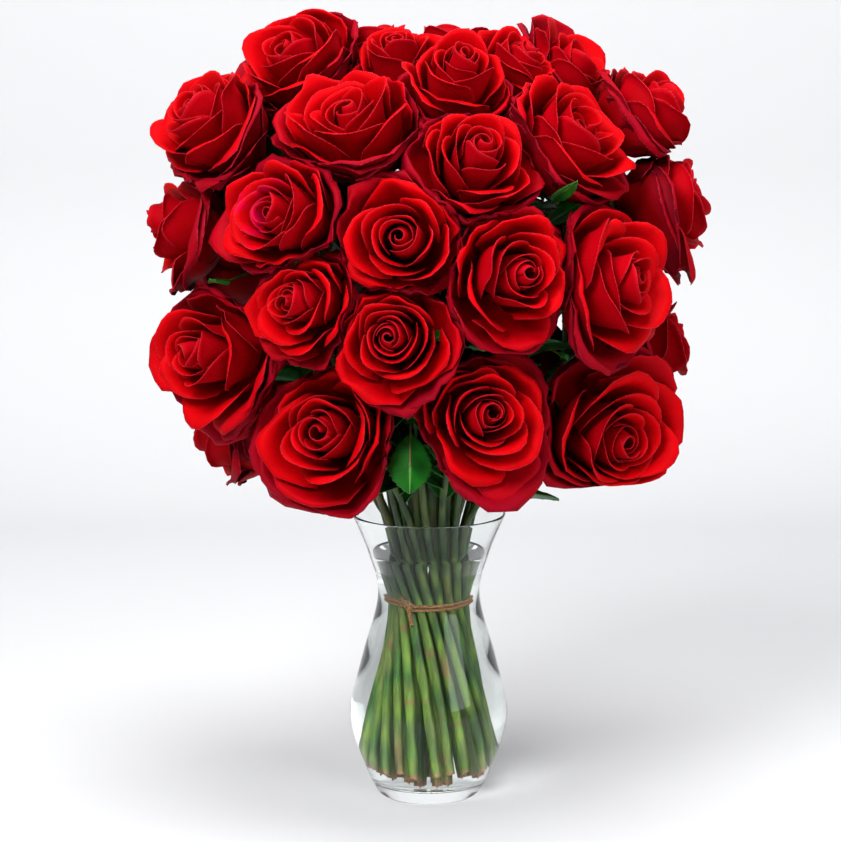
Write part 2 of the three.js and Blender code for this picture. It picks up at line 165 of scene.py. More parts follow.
# each stem gets its slot in the tie: the steepest in the inner ring, the rest by their bearing
def giveSlots():
    byHeight = sorted(heads, key=lambda head: -head["rise"])
    spread, turn = bundleMap(tie["exit"])
    first = 0
    for ring, radius in enumerate(tie["rings"]):
        count = tie["perRing"] * (ring + 1)
        members = sorted(byHeight[first:first + count], key=lambda head: head["bearing"])
        between = 2 * pi / count
        lead = sum(head["bearing"] - place * between for place, head in enumerate(members)) / count
        for place, head in enumerate(members):
            angle = lead + place * between - atan2(turn, spread)
            head.update(ring=ring, place=place, slotRadius=radius, slotAngle=angle)
        first += count


heads = []
for number, (around, up, reach, size, face, openness) in enumerate(roseList):
    centre = onDome(around, up, reach)
    hub = Vector((0, 0, min(bunch["fan"], centre.z - bunch["nod"])))
    heads.append({
        "number": number, "label": "%02d" % (number + 1), "centre": centre, "size": size * mm,
        "open": openness,
        "face": heading(*face) if face else (centre - hub).normalized(), "roll": number * bunch["roll"],
        "rise": atan2(centre.z - bunch["rim"], hypot(centre.x, centre.y)),
        "bearing": atan2(centre.y, centre.x),
    })
leafRooms = [{"centre": onDome(around, up, bunch["leafReach"]), "size": own.get("room", bunch["leafRoom"])}
             for around, up, *_, own in leafList]
for head in heads:
    head["crowd"] = crowdOf(head, heads + leafRooms)
    depth = head["face"] * (-bunch["depth"] * head["size"])
    drawn = press(np.array([depth]), head["crowd"], head["size"] * bunch["envelope"])[0]
    head["foot"] = head["centre"] + Vector(drawn)
giveSlots()
print("bunch: %d roses, %d leaves" % (len(heads), len(leafList)))


# a value that changes over a mesh or a surface, with the sums that trees are built of
class Field:
    def __init__(self, tree, socket):
        self.tree, self.socket = tree, socket

    def math(self, kind, *others):
        return Field(self.tree, step(self.tree, "ShaderNodeMath", enumerate((self, *others)), operation=kind))

    def __neg__(self):
        return self.math("MULTIPLY", -1.0)

    def __rsub__(self, other):
        return -self + other


# each of these sums is one Math node
fieldSums = {
    "__add__": "ADD", "__radd__": "ADD", "__mul__": "MULTIPLY", "__rmul__": "MULTIPLY", "__sub__": "SUBTRACT",
    "__truediv__": "DIVIDE", "__pow__": "POWER", "sin": "SINE", "cos": "COSINE", "abs": "ABSOLUTE",
    "least": "MINIMUM", "most": "MAXIMUM", "exponent": "EXPONENT", "fraction": "FRACT",
}
for label, kind in fieldSums.items():
    setattr(Field, label, lambda self, *others, kind=kind: self.math(kind, *others))


def addNode(tree, kind, inputs=(), **settings):
    node = tree.nodes.new(kind)
    for name, value in settings.items():
        setattr(node, name, value)
    for label, value in dict(inputs).items():
        value = value.socket if isinstance(value, Field) else value
        if isinstance(value, bpy.types.NodeSocket):
            tree.links.new(value, node.inputs[label])
        else:
            node.inputs[label].default_value = value
    return node


# one step of a tree: the first output of a new node
def step(tree, kind, inputs=(), **settings):
    return addNode(tree, kind, inputs, **settings).outputs[0]


def addSockets(tree, way, kinds):
    for label, kind in kinds.items():
        tree.interface.new_socket(name=label, in_out=way, socket_type="NodeSocket" + kind)


def newTree(name, inputs):
    tree = bpy.data.node_groups.new(name, "GeometryNodeTree")
    addSockets(tree, "INPUT", {"Geometry": "Geometry", **inputs})
    addSockets(tree, "OUTPUT", {"Geometry": "Geometry"})
    start, end = tree.nodes.new("NodeGroupInput"), tree.nodes.new("NodeGroupOutput")
    fields = {label: Field(tree, start.outputs[label]) for label in inputs}
    return tree, start.outputs[0], end.inputs[0], fields


def storeField(tree, geometry, name, value, domain="POINT"):
    return step(tree, "GeometryNodeStoreNamedAttribute", {"Geometry": geometry, "Name": name, "Value": value},
                data_type="FLOAT", domain=domain)


def namedField(tree, name):
    node = addNode(tree, "GeometryNodeInputNamedAttribute", {"Name": name}, data_type="FLOAT")
    return Field(tree, node.outputs["Attribute"])


def indexField(tree):
    return Field(tree, step(tree, "GeometryNodeInputIndex"))


def randomField(tree, low, high, seed, number):
    node = addNode(tree, "FunctionNodeRandomValue", {"Min": low, "Max": high, "ID": number, "Seed": seed},
                   data_type="FLOAT")
    return Field(tree, node.outputs["Value"])


def noiseField(tree, vector, scale, seed):
    inputs = {"Vector": vector, "W": seed, "Scale": scale, "Detail": 1.5}
    return Field(tree, step(tree, "ShaderNodeTexNoise", inputs, noise_dimensions="4D")) - 0.5


def combine(tree, x, y, z):
    return step(tree, "ShaderNodeCombineXYZ", {0: x, 1: y, 2: z})


def coordinates(tree):
    apart = addNode(tree, "ShaderNodeSeparateXYZ", {0: step(tree, "GeometryNodeInputPosition")})
    return [Field(tree, socket) for socket in apart.outputs]


def gridOf(tree, wide, across, along):
    return step(tree, "GeometryNodeMeshGrid", {
        "Size X": wide, "Size Y": 1.0, "Vertices X": across, "Vertices Y": along})


def coneOf(tree, sides, steps, foot, tip):
    return step(tree, "GeometryNodeMeshCone", {
        "Vertices": sides, "Side Segments": steps, "Radius Bottom": foot, "Radius Top": tip, "Depth": 1.0})


def tubeOf(tree, curve, profile, **sizes):
    return step(tree, "GeometryNodeCurveToMesh", {
        "Curve": curve, "Profile Curve": profile, "Fill Caps": True, **sizes})


def circleOf(tree, sides, radius):
    return step(tree, "GeometryNodeCurvePrimitiveCircle", {"Resolution": sides, "Radius": radius})


# copies on one spot, each with its own number in a named attribute
def copiesOf(tree, geometry, count, name):
    line = step(tree, "GeometryNodeMeshLine", {"Count": count})
    copies = step(tree, "GeometryNodeInstanceOnPoints", {"Points": line, "Instance": geometry})
    copies = storeField(tree, copies, name, indexField(tree), "INSTANCE")
    return step(tree, "GeometryNodeRealizeInstances", {"Geometry": copies})


# copies along a curve, each turned in its own frame, sized and lifted
def alongCurve(tree, curve, count, shape, turns, size, lift=0.0):
    steps = addNode(tree, "GeometryNodeCurveToPoints", {"Curve": curve, "Count": count})
    rotation = steps.outputs["Rotation"]
    for turn in turns:
        own = step(tree, "FunctionNodeEulerToRotation", {0: combine(tree, *turn)})
        rotation = step(tree, "FunctionNodeRotateRotation", {0: rotation, 1: own}, rotation_space="LOCAL")
    copies = step(tree, "GeometryNodeInstanceOnPoints", {
        "Points": steps.outputs[0], "Instance": shape, "Rotation": rotation,
        "Scale": combine(tree, size, size, size)})
    raised = step(tree, "GeometryNodeTranslateInstances", {
        "Instances": copies, "Translation": combine(tree, 0.0, 0.0, lift)})
    return step(tree, "GeometryNodeRealizeInstances", {"Geometry": raised})


def movedTo(tree, geometry, *where):
    return step(tree, "GeometryNodeSetPosition", {"Geometry": geometry, "Position": combine(tree, *where)})


def smoothed(tree, geometry):
    return step(tree, "GeometryNodeSetShadeSmooth", {"Geometry": geometry})


def painted(tree, geometry, material):
    return step(tree, "GeometryNodeSetMaterial", {"Geometry": geometry, "Material": material})


def joined(tree, *parts):
    join = addNode(tree, "GeometryNodeJoinGeometry")
    for part in parts:
        tree.links.new(part, join.inputs[0])
    return join.outputs[0]


def addObject(name, data, at=(0, 0, 0)):
    thing = bpy.data.objects.new(name, data)
    thing.location = at
    scene.collection.objects.link(thing)
    return thing


# a tree's result as a plain mesh; its inputs are set by their identifiers
def grow(name, tree, values, base=None):
    carrier = addObject(name + "Carrier", base or bpy.data.meshes.new(name + "Base"))
    modifier = carrier.modifiers.new("grow", "NODES")
    modifier.node_group = tree
    ids = {item.name: item.identifier for item in tree.interface.items_tree
           if item.item_type == "SOCKET" and item.in_out == "INPUT"}
    for label, value in values.items():
        modifier[ids[label]] = value
    depsgraph = bpy.context.evaluated_depsgraph_get()
    mesh = bpy.data.meshes.new_from_object(carrier.evaluated_get(depsgraph), depsgraph=depsgraph)
    mesh.name = name
    bpy.data.objects.remove(carrier)
    return mesh


def addPiece(name, mesh, node, thick=0.0):
    piece = addObject(name, mesh)
    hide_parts(node)
    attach(piece, "root")
    if thick:
        shell = piece.modifiers.new("thickness", "SOLIDIFY")
        shell.thickness, shell.offset = thick, 0.0
    return piece


def pointsOf(mesh):
    flat = np.empty(len(mesh.vertices) * 3)
    mesh.vertices.foreach_get("co", flat)
    return flat.reshape(-1, 3)


def setPoints(mesh, points):
    mesh.vertices.foreach_set("co", np.ascontiguousarray(points, dtype=float).ravel())
    mesh.update()


def curveThrough(name, points):
    curve = bpy.data.curves.new(name, "CURVE")
    curve.dimensions = "3D"
    spline = curve.splines.new("POLY")
    spline.points.add(len(points) - 1)
    for point, at in zip(spline.points, points):
        point.co = (*at, 1)
    return curve


def newMaterial(name, **sockets):
    material = bpy.data.materials.new(name)
    material.use_nodes = True
    shader = material.node_tree.nodes["Principled BSDF"]
    for label, value in sockets.items():
        shader.inputs[label.replace("_", " ")].default_value = value
    return material, material.node_tree, shader


def attribute(tree, name):
    return addNode(tree, "ShaderNodeAttribute", attribute_name=name).outputs["Fac"]


def rampColors(tree, value, stops):
    node = addNode(tree, "ShaderNodeValToRGB", {0: value})
    for k, (at, colour) in enumerate(stops):
        element = node.color_ramp.elements[k] if k < 2 else node.color_ramp.elements.new(at)
        element.position = at
        element.color = (*colour, 1)
    return node.outputs[0]


def smoothRamp(tree, value, low, high):
    return Field(tree, step(tree, "ShaderNodeMapRange", {"Value": value, "From Min": low, "From Max": high},
                            interpolation_type="SMOOTHSTEP"))


def noiseOf(tree, vector, scale, detail=3.0):
    return step(tree, "ShaderNodeTexNoise", {"Vector": vector, "Scale": scale, "Detail": detail})


# noise on Object coordinates, stretched by axis
def grain(tree, *stretch, detail=3.0):
    where = addNode(tree, "ShaderNodeTexCoord").outputs["Object"]
    return noiseOf(tree, step(tree, "ShaderNodeMapping", {"Vector": where, "Scale": stretch}), 1.0, detail)


def mixColors(tree, share, a, b, kind="MIX"):
    first, second = (value if isinstance(value, bpy.types.NodeSocket) else (*value, 1) for value in (a, b))
    node = addNode(tree, "ShaderNodeMix", {"Factor": share, "A": first, "B": second}, data_type="RGBA",
                   blend_type=kind)
    return node.outputs["Result"]


def finishWith(tree, shader, tone, height, strength, distance):
    if tone is not None:
        tree.links.new(tone, shader.inputs["Base Color"])
    bump = step(tree, "ShaderNodeBump", {"Strength": strength, "Distance": distance, "Height": height})
    tree.links.new(bump, shader.inputs["Normal"])


# deep: painted shade at each petal's foot, also the darker blotches; rim: a painted highlight on the edge
petalFinish = {
    "front": (0.48, 0.0, 0.002), "deep": (0.27, 0.0, 0.001), "rim": (0.34, 0.018, 0.03),
    "magenta": (0.46, 0.0, 0.05), "back": (0.33, 0.0, 0.004), "outer": (0.22, 0.001, 0.009),
    "outerBack": (0.10, 0.002, 0.008), "blush": 0.8, "bump": 0.25, "bumpDeep": 0.6 * mm,
}


# petal colour: painted shade towards each petal's foot and darker blotches, duller on the outermost
# petals, a painted highlight along the rim, and a magenta blush on the inner petals of a rose that has one
def petalTone():
    group = bpy.data.node_groups.new("petalTone", "ShaderNodeTree")
    addSockets(group, "INPUT", {"Base": "Color", "Deep": "Color", "Outer": "Color", "Rim": "Color",
                                "Tint": "Color", "Tint Share": "Float"})
    addSockets(group, "OUTPUT", {"Color": "Color", "Height": "Float"})
    given, end = group.nodes.new("NodeGroupInput").outputs, group.nodes.new("NodeGroupOutput")

    def streaks(scale, detail, *stretch):
        where = [Field(group, attribute(group, name)) * factor
                 for name, factor in zip(("petalU", "petalV", "petalNumber"), stretch)]
        return noiseOf(group, combine(group, *where), scale, detail)

    along, age = attribute(group, "petalV"), attribute(group, "petalT")
    blotch = streaks(2.2, 3.0, 1.0, 1.0, 1.7)
    veins = streaks(6.0, 4.0, 4.5, 0.35, 3.1)
    aged = mixColors(group, smoothRamp(group, age, 0.86, 1.1), given["Base"], given["Outer"])
    # painted shade: each petal darkens towards its foot, where it sinks between the others
    tone = mixColors(group, smoothRamp(group, along, 0.25, 0.95), given["Deep"], aged)
    darker = step(group, "ShaderNodeMapRange", {"Value": blotch, "From Min": 0.35, "From Max": 0.6,
                                                "To Min": 0.45, "To Max": 0.0})
    tone = mixColors(group, darker, tone, given["Deep"])
    inner = smoothRamp(group, age, 0.6, 0.25) * Field(group, given["Tint Share"])
    tone = mixColors(group, smoothRamp(group, blotch, 0.45, 0.62) * inner, tone, given["Tint"])
    # a painted highlight along each petal's rim, broken up by the veins
    rimHighlight = smoothRamp(group, along, 0.975, 1.01) * smoothRamp(group, veins, 0.38, 0.62)
    group.links.new(mixColors(group, rimHighlight, tone, given["Rim"]), end.inputs["Color"])
    group.links.new(veins, end.inputs["Height"])
    return group


def petalMaterial(name, base, outer, tintShare, group):
    material, tree, shader = newMaterial(name, Roughness=0.6, Specular_IOR_Level=0.03, Sheen_Weight=0.04,
                                         Sheen_Roughness=0.4, Sheen_Tint=(1.0, 0.02, 0.04, 1))
    tone = addNode(tree, "ShaderNodeGroup", node_tree=group)
    # the Deep colour paints the shade at each petal's foot and its blotches; the Rim colour a painted
    # highlight
    colours = {"Base": base, "Deep": "deep", "Outer": outer, "Rim": "rim", "Tint": "magenta"}
    for label, colour in colours.items():
        tone.inputs[label].default_value = (*petalFinish[colour], 1)
    tone.inputs["Tint Share"].default_value = tintShare
    finishWith(tree, shader, tone.outputs["Color"], tone.outputs["Height"], petalFinish["bump"],
               petalFinish["bumpDeep"])
    return material


petalGroup = petalTone()
petalFront = petalMaterial("petalVelvet", "front", "outer", 0.0, petalGroup)
petalPink = petalMaterial("petalBlush", "front", "outer", petalFinish["blush"], petalGroup)
petalBack = petalMaterial("petalBack", "back", "outerBack", 0.0, petalGroup)
print("materials made")


petal = {"across": 13, "along": 14, "fewest": 18, "more": 5, "guards": 7, "thick": 0.45 * mm,
         "goldenAngle": radians(137.5), "hem": 228 * mm, "hemWave": 7 * mm, "margin": -6 * mm,
         "crown": 549 * mm, "crownWave": 4 * mm, "tinted": [4]}
# each row goes from the heart of the bloom, by its inner and its middle petals, to the outermost ones, in
# shares of the bloom's radius; "outs" and "ups" are the four control points of a petal from foot to rim
petalShape = {
    "wrap": (2.2, 1.3, 1.1, 0.86), "drop": (0.05, 0.24, 0.36, 0.44), "tip": (0.0, 0.02, 0.035, 0.055),
    "outs": [(0.03, 0.05, 0.08, 0.10), (0.14, 0.29, 0.50, 0.74), (0.13, 0.19, 0.37, 0.74),
             (0.05, 0.23, 0.55, 0.99)],
    "ups": [(-0.45, -0.52, -0.57, -0.60), (-0.20, -0.42, -0.54, -0.62), (0.22, 0.20, 0.14, 0.10),
            (0.42, 0.43, 0.33, 0.02)],
    "flare": (0.0, 0.5, 0.3, 0.0), "overlap": (0.34, 0.10, 0.06, 0.03),
    "sinkWaist": (0.40, 0.30, 0.05, 0.0), "sinkRim": (0.50, 0.35, -0.02, -0.30),
    "rollOut": (0.0, 0.022, 0.035, 0.02), "rollDown": (0.0, 0.012, 0.035, 0.05),
    "waveOut": (0.0, 0.010, 0.020, 0.035), "waveUp": (0.004, 0.016, 0.03, 0.045),
    "sag": (0.0, 0.02, 0.06, 0.12), "bend": (0.30, 0.40, 0.38, 0.30), "heave": (0.04, 0.08, 0.12, 0.16),
}


def roseTree():
    tree, _, end, given = newTree("roseTree", {
        "Petals": "Int", "Guards": "Int", "Open": "Float", "Seed": "Int", "Front": "Material"})
    x, y, _ = coordinates(tree)
    geometry = storeField(tree, gridOf(tree, 2.0, petal["across"], petal["along"]), "petalU", x)
    geometry = storeField(tree, geometry, "petalV", y + 0.5)
    geometry = copiesOf(tree, geometry, given["Petals"] + given["Guards"], "petalNumber")
    number, u, v = (namedField(tree, name) for name in ("petalNumber", "petalU", "petalV"))
    age = number / (given["Petals"] - 1)
    t = age.least(1.0)
    # the guard petals stand outside the others, broad and low, and close the bunch between blooms
    guard = ((age - 1) * 30).most(0.0).least(1.0)
    seed = given["Seed"]
    spread = given["Open"] - 0.5

    def chance(low, high, offset):
        return randomField(tree, low, high, seed + offset, number)

    def through(inner, second, third, outer):
        value = inner + (second - inner) * (t * 3).least(1.0)
        value = value + (third - second) * (t * 3 - 1).most(0.0).least(1.0)
        return value + (outer - third) * (t * 3 - 2).most(0.0)

    shape = {name: through(*row) for name, row in petalShape.items() if name not in ("outs", "ups")}
    wide = u.abs()
    wrap = (shape["wrap"] + guard * 0.22) * chance(0.78, 1.22, 1)
    tip = shape["tip"] * (-((u + chance(-0.3, 0.3, 9)) * 3.4) ** 2.0).exponent()
    s = v * (1 - shape["drop"] * wide ** 2.6 + tip)
    # the petal's line from its foot to its rim goes out and up; a wide open bloom is a bowl with its
    # heart sunk in it
    far = chance(0.86, 1.08, 2)
    lift = chance(-0.10, 0.08, 3)
    flare = 1 + spread * shape["flare"]
    sink = spread.most(0.0)
    outs = [through(*row) for row in petalShape["outs"]]
    outs[2:] = [outs[2] * flare, outs[3] * far * flare]
    ups = [through(*row) for row in petalShape["ups"]]
    ups[2:] = [ups[2] - sink * shape["sinkWaist"], ups[3] + lift - sink * shape["sinkRim"]]
    r = 1 - s

    def bezier(points):
        return (points[0] * r ** 3.0 + points[1] * (3 * s * r ** 2.0) + points[2] * (3 * s ** 2.0 * r)
                + points[3] * s ** 3.0)

    out = bezier(outs) * (1 + guard * 0.16)
    up = bezier(ups) - guard * s ** 2.0 * chance(0.05, 0.30, 8)
    # one side of each petal lies over the next, the rim rolls back and waves
    phase = chance(0.0, 6.28, 4)
    edge = s ** 3.0
    curl = ((v - 0.78).most(0.0) * 4.5) ** 2.0 * chance(0.4, 1.5, 6)
    out = out * (1 + u * shape["overlap"]) + curl * shape["rollOut"]
    up = up - curl * shape["rollDown"]
    out = out + edge * shape["waveOut"] * (u * 4.5 + phase).sin()
    up = up + edge * shape["waveUp"] * (u * 3.6 + phase * 1.7).sin()
    up = up - edge * wide ** 2.0 * shape["sag"]
    angle = number * petal["goldenAngle"] + chance(-0.42, 0.42, 5) + u * wrap * (0.6 + 0.4 * v)
    # no two petals bend alike
    where = combine(tree, out * angle.cos(), out * angle.sin(), up)
    out = out * (1 + noiseField(tree, where, 1.7, seed * 0.37) * shape["bend"] * (0.25 + 0.75 * v))
    angle = angle + noiseField(tree, where, 1.5, seed * 0.37 + 80) * 0.7
    up = up + noiseField(tree, where, 2.0, seed * 0.37 + 40) * v * shape["heave"]
    geometry = movedTo(tree, geometry, out * angle.cos(), out * angle.sin(), up)
    geometry = smoothed(tree, storeField(tree, geometry, "petalT", age))
    tree.links.new(painted(tree, geometry, given["Front"]), end)
    return tree


# the lowest blooms end at an uneven hem, and none passes the solids' box
def boxRoom(head):
    hem = petal["hem"] + petal["hemWave"] * sin(2.1 * head["number"])
    crown = petal["crown"] + petal["crownWave"] * sin(1.7 * head["number"])
    centre = head["centre"]
    planes = [(Vector((0, 0, -1)), centre.z - hem, 0), (Vector((0, 0, 1)), crown - centre.z, 0)]
    for axis in range(3):
        way = Vector([float(axis == k) for k in range(3)])
        planes.append((way, cadBox[1][axis] - centre[axis] - petal["margin"], 0))
        planes.append((-way, centre[axis] - cadBox[0][axis] - petal["margin"], 0))
    return planes


roses = roseTree()
for head in heads:
    front = petalPink if head["number"] in petal["tinted"] else petalFront
    mesh = grow("rose" + head["label"], roses, {
        "Petals": petal["fewest"] + head["number"] % petal["more"], "Guards": petal["guards"],
        "Open": head["open"], "Seed": 7 * head["number"] + 3, "Front": front})
    points = pointsOf(mesh) * head["size"] @ np.array(facing(head["face"], head["roll"])).T
    points = press(points, head["crowd"] + boxRoom(head), head["size"] * bunch["envelope"], head["centre"])
    setPoints(mesh, points + np.array(head["centre"]))
    mesh.materials.clear()
    mesh.materials.append(petalBack)
    mesh.materials.append(front)
    piece = addPiece("rose" + head["label"], mesh, "rose_" + head["label"], petal["thick"])
    piece.modifiers["thickness"].material_offset = 1
print("roses made")


stem = {"radius": 2.75 * mm, "floor": 10 * mm, "sides": 12, "thorns": 9, "thorn": 3.2 * mm, "stray": 3.2 * mm,
        "foot": 1.6 * mm, "footStep": 1.4 * mm, "ringStep": 4.5 * mm, "end": 1 * mm, "firstPair": [1, 4, 10]}
# the hip and its sepals, in shares of the bloom's radius
calyx = {"hipAround": 15, "hipAlong": 9, "hipWide": 0.085, "hipTall": 0.18, "sepals": 5, "across": 5,
         "along": 13, "long": (0.25, 0.34), "droop": (0.02, 0.13), "twist": (-0.5, 0.5), "half": 0.075,
         "thick": 0.012}


# from the cut foot up the spiral to the tie, out of it, and in one bend to the bloom
def pathOf(head):
    low = stem["floor"] + stem["foot"] + stem["footStep"] * (head["number"] % 3)
    low += stem["ringStep"] * head["ring"]
    levels = [low + (tie["height"] - low) * k / 7 for k in range(8)]
    levels += [tie["height"] + (tie["exit"] - tie["height"]) * k / 4 for k in range(1, 4)]
    points = [throughTie(head["slotRadius"], head["slotAngle"], z) for z in levels]
    for k in range(8):
        far = (1 - k / 7) ** 2 * stem["stray"]
        inward = -points[k].xy.normalized().to_3d()
        aside = inward.cross(Vector((0, 0, 1)))
        points[k] += inward * far * (1 + sin(1.9 * head["number"])) * 0.6
        points[k] += aside * far * sin(2.7 * head["number"] + 1)
    knot, leaving = (throughTie(head["slotRadius"], head["slotAngle"], tie[z]) for z in ("height", "exit"))
    end = head["foot"] - head["face"] * (bunch["gap"] + stem["end"])
    reach = (end - leaving).length
    first = leaving + (leaving - knot).normalized() * reach * bunch["leave"]
    second = end - head["face"] * reach * bunch["arrive"]
    for k in range(17):
        s = k / 16
        r = 1 - s
        points.append(leaving * r ** 3 + first * 3 * s * r ** 2 + second * 3 * s * s * r + end * s ** 3)
    return points


def stemTree():
    tree, start, end, given = newTree("stemTree", {
        "Radius": "Float", "Sides": "Int", "Thorns": "Int", "Thorn": "Float", "Seed": "Int",
        "Skin": "Material", "Barb": "Material"})
    seed = given["Seed"]
    parameter = addNode(tree, "GeometryNodeSplineParameter").outputs
    along, far = Field(tree, parameter["Factor"]), Field(tree, parameter["Length"])
    lumps = noiseField(tree, step(tree, "GeometryNodeInputPosition"), 60.0, seed * 0.71)
    sturdy = randomField(tree, -0.13, 0.08, seed + 31, 0)
    # swollen joints, a thicker cut foot and a slim neck under the bloom
    joints = ((far * 95 + seed * 2.3).sin() - 0.93).most(0.0) * 2.2
    thick = (lumps * 0.22 + joints + 1.12 - along * 0.26 + sturdy) * given["Radius"]
    curve = storeField(tree, start, "stemS", along)
    curve = storeField(tree, curve, "stemShade", randomField(tree, 0.0, 1.0, seed + 30, 0))
    sized = step(tree, "GeometryNodeSetCurveRadius", {"Curve": curve, "Radius": thick})
    radius = step(tree, "GeometryNodeInputRadius")
    skin = tubeOf(tree, sized, circleOf(tree, given["Sides"], 1.0), Scale=radius)
    skin = painted(tree, smoothed(tree, skin), given["Skin"])
    # thorns: small hooked cones, sunk in the skin and turned at random about the stem
    x, y, z = coordinates(tree)
    hooked = movedTo(tree, coneOf(tree, 6, 3, 0.42, 0.02), x * 1.5 - z ** 2.0 * 0.45, y * 0.55, z)
    number = indexField(tree)
    turns = [(0.0, 0.0, randomField(tree, 0.0, 6.28, seed + 11, number)), (0.0, pi / 2, 0.0)]
    size = randomField(tree, 0.6, 1.1, seed + 12, number) * given["Thorn"]
    barbs = alongCurve(tree, curve, given["Thorns"], hooked, turns, size, given["Radius"] * 0.85)
    tree.links.new(joined(tree, painted(tree, barbs, given["Barb"]), skin), end)
    return tree


# the hip, turned, and five tapering sepals round it
def calyxTree():
    tree, _, end, given = newTree("calyxTree", {"Seed": "Int", "Skin": "Material"})
    x, y, _ = coordinates(tree)
    around, v = (x + 0.5) * 2 * pi, y + 0.5
    out = (v * pi).sin() ** 0.7 * calyx["hipWide"] + v * 0.012
    hip = movedTo(tree, gridOf(tree, 1.0, calyx["hipAround"], calyx["hipAlong"]), out * around.cos(),
                  out * around.sin(), v * calyx["hipTall"] - calyx["hipTall"])
    closed = step(tree, "GeometryNodeMergeByDistance", {"Geometry": hip, "Distance": 0.001})
    u = x * 2
    kept = storeField(tree, gridOf(tree, 1.0, calyx["across"], calyx["along"]), "sepalV", v)
    kept = copiesOf(tree, kept, calyx["sepals"], "sepalNumber")
    number = namedField(tree, "sepalNumber")
    reach, droop, twist = (randomField(tree, *calyx[name], given["Seed"] + k, number)
                           for k, name in enumerate(("long", "droop", "twist")))
    half = (v * pi * 0.82 + 0.42).sin().most(0.0) ** 1.3 * calyx["half"] + 0.004
    out = v * reach + 0.03
    side = u * half + (v ** 2.0) * twist * 0.05
    up = -(v ** 2.0) * droop - 0.012 + u ** 2.0 * 0.012
    angle = number * (2 * pi / calyx["sepals"])
    x = out * angle.cos() - side * angle.sin()
    y = out * angle.sin() + side * angle.cos()
    spread = movedTo(tree, kept, x, y, up)
    thick = step(tree, "GeometryNodeExtrudeMesh", {
        "Mesh": spread, "Offset Scale": calyx["thick"], "Individual": False}, mode="FACES")
    flipped = step(tree, "GeometryNodeFlipFaces", {"Mesh": spread})
    whole = step(tree, "GeometryNodeMergeByDistance", {
        "Geometry": joined(tree, closed, thick, flipped), "Distance": 0.0002})
    tree.links.new(painted(tree, smoothed(tree, whole), given["Skin"]), end)
    return tree


# from leaf green through yellow green to a dull brown, stem by stem, darker above the water
stemTones = {
    "low": [(0.0, (0.008, 0.045, 0.003)), (0.3, (0.03, 0.10, 0.006)), (0.62, (0.10, 0.17, 0.016)),
            (0.86, (0.07, 0.14, 0.01)), (0.93, (0.13, 0.09, 0.025))],
    "high": [(0.0, (0.006, 0.035, 0.003)), (0.5, (0.035, 0.085, 0.008)), (0.9, (0.09, 0.12, 0.018))],
    "spot": (0.16, 0.13, 0.045), "cut": (0.20, 0.09, 0.04),
}


def stemMaterial():
    material, tree, shader = newMaterial("stemSkin", Roughness=0.42, Specular_IOR_Level=0.4)
    along, shade = attribute(tree, "stemS"), attribute(tree, "stemShade")
    risen = rampColors(tree, along, [(0.3, (0, 0, 0)), (0.5, (1, 1, 1))])
    green = mixColors(tree, risen, *(rampColors(tree, shade, stemTones[name]) for name in ("low", "high")))
    streaks = grain(tree, 260, 260, 22, detail=4.0)
    dark = rampColors(tree, streaks, [(0.38, (0.45, 0.45, 0.36)), (0.62, (1.0, 1.0, 1.0))])
    tone = mixColors(tree, 1.0, green, dark, "MULTIPLY")
    brown = rampColors(tree, grain(tree, 38, 38, 14, detail=2.0), [(0.6, (0, 0, 0)), (0.75, (0.8, 0.8, 0.8))])
    tone = mixColors(tree, brown, tone, stemTones["spot"])
    cut = rampColors(tree, along, [(0.0, (1, 1, 1)), (0.012, (0, 0, 0))])
    finishWith(tree, shader, mixColors(tree, cut, tone, stemTones["cut"]), streaks, 0.35, 0.6 * mm)
    return material


def thornMaterial():
    material, tree, shader = newMaterial("thornHorn", Roughness=0.4)
    tone = rampColors(tree, grain(tree, 200, 200, 200), [
        (0.3, (0.17, 0.06, 0.02)), (0.7, (0.26, 0.17, 0.06))])
    tree.links.new(tone, shader.inputs["Base Color"])
    return material


def calyxMaterial():
    material, tree, shader = newMaterial("calyxSkin", Roughness=0.55, Specular_IOR_Level=0.3)
    streaks = grain(tree, 150, 150, 150, detail=4.0)
    tone = rampColors(tree, streaks, [(0.3, (0.03, 0.09, 0.012)), (0.6, (0.09, 0.20, 0.03)),
                                      (0.75, (0.16, 0.24, 0.06))])
    edge = rampColors(tree, attribute(tree, "sepalV"), [(0.7, (0, 0, 0)), (1.0, (0.5, 0.5, 0.5))])
    finishWith(tree, shader, mixColors(tree, edge, tone, (0.15, 0.05, 0.02)), streaks, 0.3, 0.5 * mm)
    return material


stems, calyxes = stemTree(), calyxTree()
stemSkin, thornHorn, calyxSkin = stemMaterial(), thornMaterial(), calyxMaterial()


def growStem(name, points, **changes):
    values = {"Radius": stem["radius"], "Sides": stem["sides"], "Thorns": stem["thorns"],
              "Thorn": stem["thorn"], "Skin": stemSkin, "Barb": thornHorn, **changes}
    return grow(name, stems, values, curveThrough(name + "Path", points))


for head in heads:
    head["node"] = "stems_%02d" % (stem["firstPair"][head["ring"]] + head["place"] // 2)
    head["path"] = pathOf(head)
    mesh = growStem("stem" + head["label"], head["path"], Seed=head["number"])
    addPiece("stem" + head["label"], mesh, head["node"])
    mesh = grow("calyx" + head["label"], calyxes, {"Seed": head["number"] + 50, "Skin": calyxSkin})
    points = pointsOf(mesh) * head["size"] - np.array([0, 0, bunch["depth"] * head["size"] + bunch["gap"]])
    points = points @ np.array(facing(head["face"], head["roll"])).T
    points = press(points, head["crowd"], head["size"] * bunch["envelope"])
    setPoints(mesh, points + np.array(head["centre"]))
    addPiece("calyx" + head["label"], mesh, head["node"])
print("stems made")


leaf = {"thick": 0.8 * mm, "skin": 0.48 * mm, "across": 13, "along": 45, "teeth": 11, "stalk": 0.8 * mm,
        "back": 0.2, "inside": 9, "insideLong": 50 * mm, "insideWide": 32 * mm, "insideTeeth": 7,
        "insideAcross": 7, "insideAlong": 29, "insideFrom": 15, "insideTo": 26}


